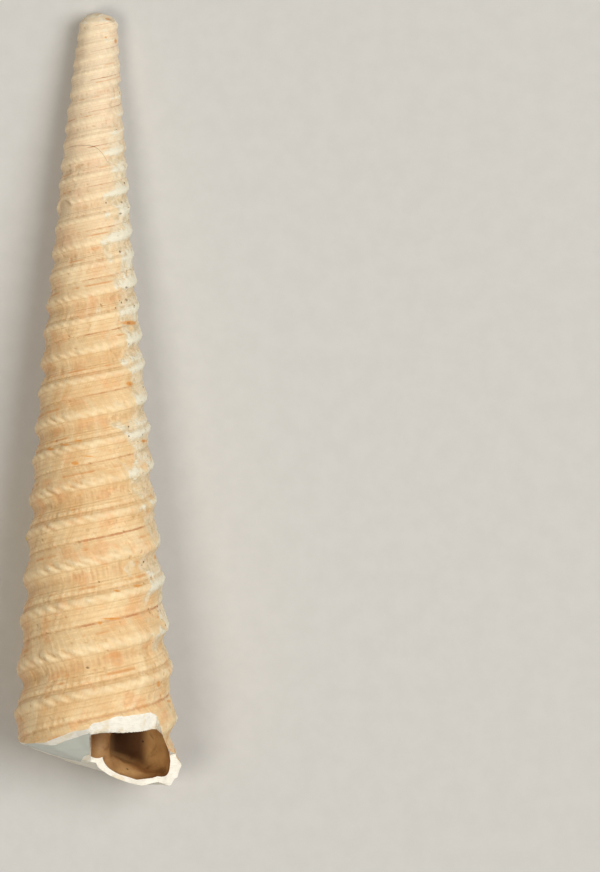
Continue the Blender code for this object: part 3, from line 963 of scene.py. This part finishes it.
shellLook = {
    "cream": (239, 209, 160),
    "tan": (224, 183, 128),
    "peach": (232, 182, 128),
    "rosy": (226, 193, 164),
    "faded": (250, 236, 214),
    # colour of the fine groove lines and of the painted shade in the grooves
    "grooveLinesAndShade": (186, 142, 92),
    # colour of the paler growth streaks and of the painted highlights on the crests
    "streaksAndCrestHighlights": (250, 232, 192),
    "sutureLine": (184, 112, 66),
    "orange": (214, 144, 76),
    "rustEdge": (222, 148, 62),
    "rust": (152, 84, 40),
    "eroded": (240, 230, 204),
    "erodedTan": (222, 200, 158),
    "smudges": (172, 152, 108),
    "chalk": (240, 236, 216),
    "specks": (108, 74, 44),
    "yellowLacquer": (238, 192, 0),
    # painted shade of the yellow lacquer in the grooves
    "yellowShadeInGrooves": (196, 142, 0),
    "roughness": 0.60,
    "lacquerRoughness": 0.34,
    "lacquerCoat": 0.8,
    "coatRoughness": 0.20,
    "shine": 0.42,
    # grain: size in mm
    "grainSize": 0.35,
    "cloudSize": 2.6,
    "wornSize": 1.3,
    # stains and specks: size in mm, amount
    "patches": (1.5, 0.45),
    "sutureGaps": (2.4, 0.55),
    "seeping": (1.7, 0.30),
    "runs": (1.8, 0.50),
    "smudging": (0.55, 0.52),
    "speckSize": 0.31,
    "speckAmount": (0.50, 0.16, 0.006),  # in patches of the eroded strip, elsewhere in it, outside it
    # colours laid over each other: by what, its share, colour
    "washes": [("patches", 0.75, "peach"), ("pink", 0.525, "rosy"), ("faded", 0.56, "faded")],
    # by what, where it starts and is full, its share there, colour: paler growth streaks, painted shade in
    # the grooves and painted highlights on crests and edges
    "paintedReliefAndStreaks": [("wideStreaks", 0.45, 0.75, 0.35, "streaksAndCrestHighlights"), ("ridge", -0.02, -0.12, 0.30, "grooveLinesAndShade"),
                ("ridge", 0.02, 0.12, 0.20, "streaksAndCrestHighlights"), ("edge", 0.004, 0.03, 0.24, "streaksAndCrestHighlights"),
                ("edge", -0.004, -0.03, 0.38, "grooveLinesAndShade")],
    # brightness: its base, and what streaks, threads, grain and the scar add
    "tint": (0.90, 0.22, 0.05, 0.12, -0.12),
    # fine grooves that run with the spiral: share of the whorl, strength
    "fineGrooves": [(0.09, 0.5), (0.17, 0.5), (0.345, 0.6), (0.535, 0.7), (0.637, 0.8), (0.672, 0.7),
                    (0.80, 0.6), (0.865, 0.7), (0.93, 0.6)],
    "grooveWidth": 0.013,
    "grooveShare": 0.48,
    "wandering": 0.05,  # how far they wander, in shares of a whorl
    "stainedLines": [(0.115, 1.0), (0.575, 0.9)],
    "stainWidth": 0.028,
    "stainShare": 0.8,
    "seepFrom": (0.03, -0.05, 0.42),  # height where stains seep out, where they are full, share
    "suture": (0.006, 0.010, 0.006),  # half width, what grain adds, softness
    "sutureShare": (0.22, 0.20, 0.45),  # base, more where faded, more between the gaps
    "bareSuture": (0.83, 0.12, 0.16),  # turn where it does not show, its half width and end
    "threads": 26.0,  # still finer threads in a whorl's height
    "threadWear": (0.1, 0.9, 0.5),  # grain that wears them, and their share
    "threadFlat": (0.11, 0.03),  # they show away from the keels
    "growthLines": 210.0,  # in a turn
    "lineStretch": 2.2,
    "widerStreaks": 0.12,
    # eroded strip
    "worn": (2.4, 0.25, 0.85, 0.62),  # unevenness of its edge, start, full, share
    "smudgeShare": 0.38,
    "whiteBy": (2.0, 0.55, 0.30),  # by height, strip and grain
    "whiteFrom": (1.13, 1.39),
    "whiteShare": 0.80,
    "rustEdges": [(0.20, 0.55, 0.8, "rustEdge"), (0.78, 1.05, 0.8, "rust")],
    "darkFrom": (0.35, 0.9, 0.85),
    "pitsFrom": (-0.035, -0.06, 0.35),
    "crackWidth": (0.045, 0.02, 0.40),
    "speckShare": 0.85,
    "yellowRagged": 0.35,
    "yellowGrooves": (0.02, -0.09, 0.8),
    "roughMore": (0.16, 0.22),  # by grain, on white
    "grainHeight": (0.45, 0.5),  # height of the grain, more on white
    # height of streaks, threads, grooves, specks and suture
    "heights": (0.55, 0.40, -0.32, -0.6, -0.25),
    "lacquerFills": 0.75,  # how far it levels what lies under it
    "bumpDepth": 0.045,  # mm
}


def makeShellMaterial():
    look = shellLook
    material, surface, position = newMaterial("shellSurface")
    tree = material.node_tree
    spot = addNode(tree, "SeparateXYZ", {0: addNode(tree, "UVMap", uv_map="spiral").outputs[0]})
    angle, count = spot.outputs[0], spot.outputs[1]
    share = calc("FRACT", count)
    turns = calc("SUBTRACT", calc("FLOOR", count), angle)
    ridge, edge, chalk, faded, scar = (readValue(tree, name) for name in
                                       ("ridge", "edge", "chalk", "faded", "scar"))
    grain = useGroup(mineralGrain, position, size=look["grainSize"])
    clouds = useGroup(mineralGrain, position, size=look["cloudSize"])
    worn = useGroup(mineralGrain, position, size=look["wornSize"])["height"]
    patches = stains(position, *look["patches"])

    # streaks across the whorls, where growth paused
    slant = calc("ADD", turns, times(calc("SINE", times(share, math.pi)), sculpture["growthBow"]))
    along = addNode(tree, "CombineXYZ", {0: times(slant, look["growthLines"]),
                                         1: times(share, look["lineStretch"])}).outputs[0]
    streaks = noiseNode(along, 1.0, 2.0, 0.6)
    wideStreaks = noiseNode(scaleVector(along, look["widerStreaks"]), 1.0, 1.0)
    # fine threads that run with the spiral, broken up by wear
    wave = calc("SINE", times(share, 2.0 * math.pi * look["threads"]))
    threads = times(wave, rise(grain["tone"], *look["threadWear"]))
    threads = times(threads, rise(calc("ABSOLUTE", ridge), *look["threadFlat"]))

    colour = mixColour(clouds["tone"], look["tan"], look["cream"])
    values = {"patches": patches, "pink": readValue(tree, "pink"), "faded": faded,
              "wideStreaks": wideStreaks, "ridge": ridge, "edge": edge}
    for name, most, layer in look["washes"]:
        colour = mixColour(times(values[name], most), colour, look[layer])
    # paler growth streaks, painted shade in hollows and painted highlights on crests and edges
    for name, start, full, most, layer in look["paintedReliefAndStreaks"]:
        colour = mixColour(rise(values[name], start, full, most), colour, look[layer])
    # fine grooves, which wander a little and are worn away here and there
    wandering = fray(share, clouds["height"], look["wandering"])
    fine = linesAt(wandering, look["fineGrooves"], look["grooveWidth"])
    fine = times(fine, rise(grain["tone"], 0.0, 0.6), calc("SUBTRACT", 1.0, scar))
    fine = times(fine, timesPlus(chalk, -0.6, 1.0))
    colour = mixColour(times(fine, look["grooveShare"]), colour, look["grooveLinesAndShade"])
    base, byStreaks, byThreads, byGrain, byScar = look["tint"]
    tint = timesPlus(threads, byThreads, timesPlus(streaks, byStreaks, base))
    tint = times(tint, timesPlus(grain["tone"], byGrain, 1.0 - 0.5 * byGrain))
    colour = mixColour(1.0, colour, timesPlus(scar, byScar, tint), "MULTIPLY")

    # the suture: a thin rusty line with gaps
    width, wider, soft = look["suture"]
    width = timesPlus(grain["tone"], wider, width)
    line = rise(calc("SUBTRACT", width, calc("PINGPONG", share, 0.5)), -soft, soft)
    base, moreFaded, moreBetween = look["sutureShare"]
    kept = timesPlus(stains(position, *look["sutureGaps"]), moreBetween, timesPlus(faded, moreFaded, base))
    bare, near, far = look["bareSuture"]
    line = times(line, kept, rise(calc("ABSOLUTE", calc("SUBTRACT", angle, bare)), near, far))
    colour = mixColour(line, colour, look["sutureLine"])
    # stains that seep out of the grooves
    seep = times(stains(position, *look["seeping"]), rise(ridge, *look["seepFrom"]))
    stained = times(linesAt(wandering, look["stainedLines"], look["stainWidth"]),
                    stains(position, *look["runs"]), timesPlus(chalk, -0.8, 1.0), look["stainShare"])
    colour = mixColour(calc("MAXIMUM", seep, stained), colour, look["orange"])

    # eroded strip: pale and mottled, white on its crests
    uneven, start, full, most = look["worn"]
    mottled = mixColour(grain["tone"], look["eroded"], look["erodedTan"])
    colour = mixColour(times(rise(fray(chalk, worn, uneven), start, full), most), colour, mottled)
    smudged = times(stains(position, *look["smudging"]), chalk, look["smudgeShare"])
    colour = mixColour(smudged, colour, look["smudges"])
    byRidge, byStrip, byGrain = look["whiteBy"]
    white = timesPlus(ridge, byRidge, times(chalk, byStrip))
    white = rise(calc("ADD", white, timesPlus(grain["tone"], byGrain, worn)), *look["whiteFrom"])
    colour = mixColour(times(white, look["whiteShare"]), colour, look["chalk"])

    rust = times(readValue(tree, "rust"), timesPlus(grain["tone"], 0.5, 0.75))
    for start, full, most, layer in look["rustEdges"]:
        colour = mixColour(rise(rust, start, full, most), colour, look[layer])
    inPatches, inStrip, outside = look["speckAmount"]
    amount = timesPlus(chalk, timesPlus(patches, inPatches, inStrip), outside)
    specks = useGroup(darkSpecks, position, size=look["speckSize"], amount=amount)["mask"]
    dark = fray(readValue(tree, "dark"), grain["tone"], 0.4)
    crack = calc("ABSOLUTE", readValue(tree, "crack"))
    for value, name in ((dark, "darkFrom"), (edge, "pitsFrom"), (crack, "crackWidth")):
        specks = calc("MAXIMUM", specks, rise(value, *look[name]))
    colour = mixColour(times(specks, look["speckShare"]), colour, look["specks"])

    lacquer = useGroup(lacquerPatch, position, edge=readValue(tree, "yellow"), ragged=look["yellowRagged"])
    # painted shade: the yellow lacquer is darker over the grooves
    yellow = mixColour(rise(ridge, *look["yellowGrooves"]), look["yellowLacquer"], look["yellowShadeInGrooves"])
    colour = mixColour(lacquer["mask"], colour, yellow)
    byGrain, onWhite = look["roughMore"]
    rough = timesPlus(white, onWhite, timesPlus(grain["tone"], byGrain, look["roughness"] - 0.5 * byGrain))
    rough = mixNumber(lacquer["mask"], rough, look["lacquerRoughness"])

    base, onWhite = look["grainHeight"]
    height = times(grain["height"], timesPlus(white, onWhite, base))
    for value, amount in zip((streaks, threads, fine, specks, line), look["heights"]):
        height = timesPlus(value, amount, height)
    height = underLacquer(height, lacquer, look["lacquerFills"])
    setInputs(surface, {"Base Color": colour, "Roughness": rough,
                        "Normal": bumped(height, look["bumpDepth"]),
                        "Coat Weight": times(lacquer["mask"], look["lacquerCoat"]),
                        "Coat Roughness": look["coatRoughness"], "Specular IOR Level": look["shine"]})
    return material


fractureLook = {
    "fresh": (250, 246, 234),
    "warm": (238, 222, 188),
    "layers": (222, 206, 170),
    "aged": (168, 116, 62),
    "agedLight": (206, 160, 102),
    "greyLacquer": (198, 203, 193),
    "specks": (84, 54, 30),
    "roughness": 0.78,
    "roughMore": 0.10,
    "greyRoughness": 0.42,
    "greyShare": 0.96,
    "greyRagged": 0.12,
    "greyCoat": 0.45,
    "coatRoughness": 0.18,
    "grainSize": 0.28,
    "clouds": (1.1, 0.42),  # size in mm, amount
    "cloudShare": 0.6,
    "layersPerMm": 9.0,
    "layersBend": 0.12,  # mm
    "layerShare": 0.30,
    "layerHeight": -0.25,
    "agedFrom": (0.3, 0.7),
    "speckSize": 0.32,
    "speckAmount": (0.35, 0.03),  # on brown, elsewhere
    "speckShare": 0.8,
    "lacquerFills": 0.6,
    "bumpDepth": 0.05,
}


def makeFractureMaterial():
    look = fractureLook
    material, surface, position = newMaterial("brokenShell")
    tree = material.node_tree
    grain = useGroup(mineralGrain, position, size=look["grainSize"])
    clouds = stains(position, *look["clouds"])
    # the shell's own layers, seen on edge
    along = addNode(tree, "SeparateXYZ", {0: position}).outputs[1]
    bent = timesPlus(grain["tone"], look["layersBend"], along)
    layers = calc("SINE", times(bent, 2.0 * math.pi * look["layersPerMm"]))
    layers = rise(times(layers, grain["tone"]), 0.1, 0.9)
    colour = mixColour(times(clouds, look["cloudShare"]), look["fresh"], look["warm"])
    colour = mixColour(times(layers, look["layerShare"]), colour, look["layers"])
    aged = rise(fray(readValue(tree, "aged"), grain["tone"], 0.3), *look["agedFrom"])
    colour = mixColour(aged, colour, mixColour(grain["tone"], look["aged"], look["agedLight"]))
    amount = timesPlus(aged, *look["speckAmount"])
    specks = useGroup(darkSpecks, position, size=look["speckSize"], amount=amount)["mask"]
    colour = mixColour(times(specks, look["speckShare"]), colour, look["specks"])
    lacquer = useGroup(lacquerPatch, position, edge=readValue(tree, "grey"), ragged=look["greyRagged"])
    colour = mixColour(times(lacquer["mask"], look["greyShare"]), colour, look["greyLacquer"])
    rough = mixNumber(lacquer["mask"], look["roughness"], look["greyRoughness"])
    height = timesPlus(layers, look["layerHeight"], grain["height"])
    height = underLacquer(height, lacquer, look["lacquerFills"])
    rough = timesPlus(grain["tone"], look["roughMore"], rough)
    setInputs(surface, {"Base Color": colour, "Roughness": rough,
                        "Normal": bumped(height, look["bumpDepth"]),
                        "Coat Weight": times(lacquer["mask"], look["greyCoat"]),
                        "Coat Roughness": look["coatRoughness"]})
    return material


insideLook = {
    "light": (222, 178, 118),
    "dark": (180, 128, 74),
    "stains": (120, 74, 38),
    # painted shade far in the hollow
    "paintedHollowShade": (84, 46, 18),
    "specks": (60, 36, 18),
    "roughness": 0.59,
    "roughMore": 0.14,
    "grainSize": 0.45,
    "grainShare": 0.22,
    "cloudSize": 2.2,
    "stainSpots": (1.2, 0.36),  # size in mm, amount
    "stainShare": 0.5,
    "speckSpots": (0.5, 0.16),
    "speckShare": 0.8,
    "paintedShadeShare": (0.80, 0.12),  # base, more in light clouds
    "speckHeight": -0.5,
    "bumpDepth": 0.035,
}


def makeInsideMaterial():
    look = insideLook
    material, surface, position = newMaterial("whorlInside")
    grain = useGroup(mineralGrain, position, size=look["grainSize"])
    clouds = useGroup(mineralGrain, position, size=look["cloudSize"])["tone"]
    stained = stains(position, *look["stainSpots"])
    size, amount = look["speckSpots"]
    specks = useGroup(darkSpecks, position, size=size, amount=amount)["mask"]
    # painted shade far in the hollow and on the columella
    base, inLight = look["paintedShadeShare"]
    paintedHollowShade = times(readValue(material.node_tree, "paintedHollowShade"), timesPlus(clouds, inLight, base))
    colour = mixColour(clouds, look["dark"], look["light"])
    for share, layer in ((times(stained, look["stainShare"]), "stains"),
                         (times(grain["tone"], look["grainShare"]), "light"), (paintedHollowShade, "paintedHollowShade"),
                         (times(specks, look["speckShare"]), "specks")):
        colour = mixColour(share, colour, look[layer])
    height = timesPlus(specks, look["speckHeight"], grain["height"])
    setInputs(surface, {"Base Color": colour, "Normal": bumped(height, look["bumpDepth"]),
                        "Roughness": timesPlus(grain["tone"], look["roughMore"], look["roughness"])})
    return material


shellMaterial = makeShellMaterial()
brokenMaterial = makeFractureMaterial()
insideMaterial = makeInsideMaterial()
tell("materials ready")

# How the shell lies: the keels of its back are level, and its opening looks up
resting = {
    "crest": 1.055,  # keels against the cone
    "wornDepth": 0.14,  # mm that the keels it lies on are worn flat
    "sharpEdge": 48.0,  # degrees
}


def makeShell():
    points, faces = makeOuterSurface()
    piece = makeMesh("shellBody", points, faces, shellMaterial)
    tell("outer surface: %d faces" % len(faces))
    combine(piece, makeTipCutter(shellMaterial))
    combine(piece, makeUndersideCutter(brokenMaterial))
    combine(piece, makeHollowCutter(insideMaterial))
    combine(piece, makeColumella(insideMaterial), "UNION")
    tell("ends broken, whorl hollowed: %d faces" % len(piece.data.polygons))
    describeSurface(piece.data)
    tell("surface described for the materials")
    return piece


def layDown(piece):
    slope = math.atan(spiral["coneSlope"] * resting["crest"])
    turned = Matrix.Rotation(-slope, 4, "X")
    piece.data.transform(turned)
    points = readNumbers(piece.data.vertices, "co", 3)
    low, high = points.min(axis=0), points.max(axis=0)
    cadLow, cadHigh = (np.array(corner) for corner in cadBox)
    shift = 0.5 * (cadLow + cadHigh) - 0.5 * (low + high)
    shift[2] = cadLow[2] - low[2] - resting["wornDepth"] * mm
    points = points + shift
    points[:, 2] = np.maximum(points[:, 2], cadLow[2])
    piece.data.vertices.foreach_set("co", points.ravel())
    piece.data.update()
    return turned, Vector(shift)


shell = makeShell()
turned, shift = layDown(shell)
shell.data.shade_smooth()
shell.data.set_sharp_from_angle(angle=math.radians(resting["sharpEdge"]))
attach(shell, "root")
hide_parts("shell")
tell("shell laid down")

# Floor
floor = {
    "width": 1.6,
    "below": 0.00002,  # gap under the shell, m
    "colour": (204, 203, 200),
    "grainColour": (193, 192, 188),
    "grainSize": 1.5,
    "grainShare": 0.3,
    "roughness": 0.85,
}


def makeFloorMaterial():
    material, surface, position = newMaterial("paleFloor")
    grain = useGroup(mineralGrain, position, size=floor["grainSize"])
    colour = mixColour(times(grain["tone"], floor["grainShare"]), floor["colour"], floor["grainColour"])
    setInputs(surface, {"Base Color": colour, "Roughness": floor["roughness"]})
    return material


def makeFloor():
    half = 0.5 * floor["width"]
    mesh = bpy.data.meshes.new("floor")
    mesh.from_pydata([(-half, -half, 0.0), (half, -half, 0.0), (half, half, 0.0), (-half, half, 0.0)],
                     [], [(0, 1, 2, 3)])
    piece = bpy.data.objects.new("floor", mesh)
    bpy.context.scene.collection.objects.link(piece)
    piece.data.materials.append(makeFloorMaterial())
    piece.location.z = cadBox[0].z - floor["below"]
    return piece


makeFloor()

# Camera: looks straight down on the front of the shell, square to its axis
camera = {
    "mmPerPixel": 0.06865,
    "pictureWidth": 600,
    "pictureHeight": 872,
    "axisColumn": 92.4,  # where the spire's axis falls in the picture
    "coneRow": -198.5,  # row at which the spire's cone would close
    "lens": 480.0,
    "sensor": 36.0,
    "seesFrom": 0.01,  # m
    "seesTo": 20.0,
}


def makeCamera():
    data = bpy.data.cameras.new("camera")
    data.lens = camera["lens"]
    data.sensor_width = camera["sensor"]
    data.clip_start = camera["seesFrom"]
    data.clip_end = camera["seesTo"]
    thing = bpy.data.objects.new("camera", data)
    bpy.context.scene.collection.objects.link(thing)
    across = 0.5 * camera["pictureWidth"] - camera["axisColumn"]
    down = 0.5 * camera["pictureHeight"] - camera["coneRow"]
    scale = camera["mmPerPixel"] * mm
    tall = camera["pictureHeight"] * scale
    away = camera["lens"] / camera["sensor"] * tall
    inShell = Vector((across * scale, -down * scale, away))
    thing.matrix_world = Matrix.Translation(shift) @ turned @ Matrix.Translation(inShell)
    bpy.context.scene.camera = thing


makeCamera()

# Light: one large soft lamp from the upper right, weak fills and a pale sky
light = {
    "keyPower": 2.8,
    "keySize": 0.36,
    "keyColour": (1.0, 0.99, 0.97),
    "keyPlace": (0.33, 0.09, 0.51),
    "fillPower": 1.25,
    "fillSize": 0.22,
    "fillColour": (1.0, 0.92, 0.80),
    "fillPlace": (-0.20, -0.08, 0.54),
    "skyColour": (1.0, 0.98, 0.95),
    "skyStrength": 0.17,
}


def makeLamp(name):
    spot = light[name + "Place"]
    data = bpy.data.lights.new(name + "Lamp", "AREA")
    data.energy = light[name + "Power"]
    data.size = light[name + "Size"]
    data.color = light[name + "Colour"]
    thing = bpy.data.objects.new(name + "Lamp", data)
    thing.location = spot
    thing.rotation_euler = (-Vector(spot)).to_track_quat("-Z", "Y").to_euler()
    bpy.context.scene.collection.objects.link(thing)


def makeLight():
    makeLamp("key")
    makeLamp("fill")
    world = bpy.data.worlds.new("studio")
    world.use_nodes = True
    sky = world.node_tree.nodes["Background"]
    sky.inputs["Color"].default_value = (*light["skyColour"], 1.0)
    sky.inputs["Strength"].default_value = light["skyStrength"]
    bpy.context.scene.world = world
    bpy.context.scene.view_settings.view_transform = "Standard"


makeLight()
tell("stage, camera and light ready")

bpy.context.view_layer.update()
